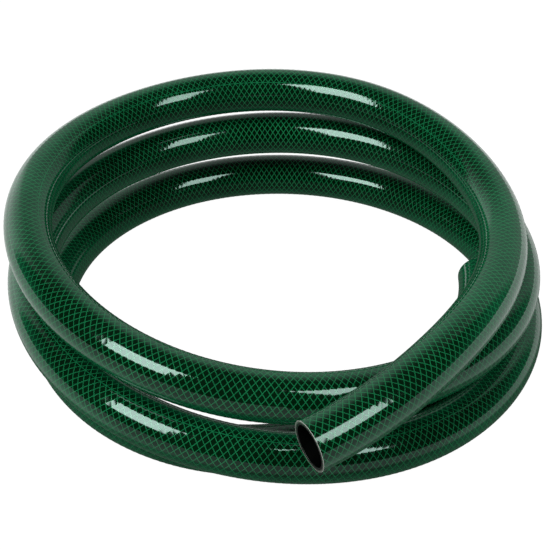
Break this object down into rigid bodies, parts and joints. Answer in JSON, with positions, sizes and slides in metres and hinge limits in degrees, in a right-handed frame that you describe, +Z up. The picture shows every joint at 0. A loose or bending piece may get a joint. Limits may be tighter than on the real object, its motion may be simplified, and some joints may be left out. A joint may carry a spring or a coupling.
{
  "type": "garden hose",
  "caption": "Loosely coiled length of green reinforced garden hose, lying flat, with both ends cut square and open.",
  "frame": {"origin": "on the floor under the middle of the coil's box", "axes": "+Z up, along the coil's axis; -Y towards the side where the upper cut end lies; +X to the right of that side"},
  "size_m": [0.268, 0.305, 0.0892],
  "materials": {
    "hose_vinyl": "glossy clear cover over a green yarn braid on a near-black green tube"
  },
  "bodies": {
    "root": {"hose": "hose_vinyl"}
  },
  "joints": []
}
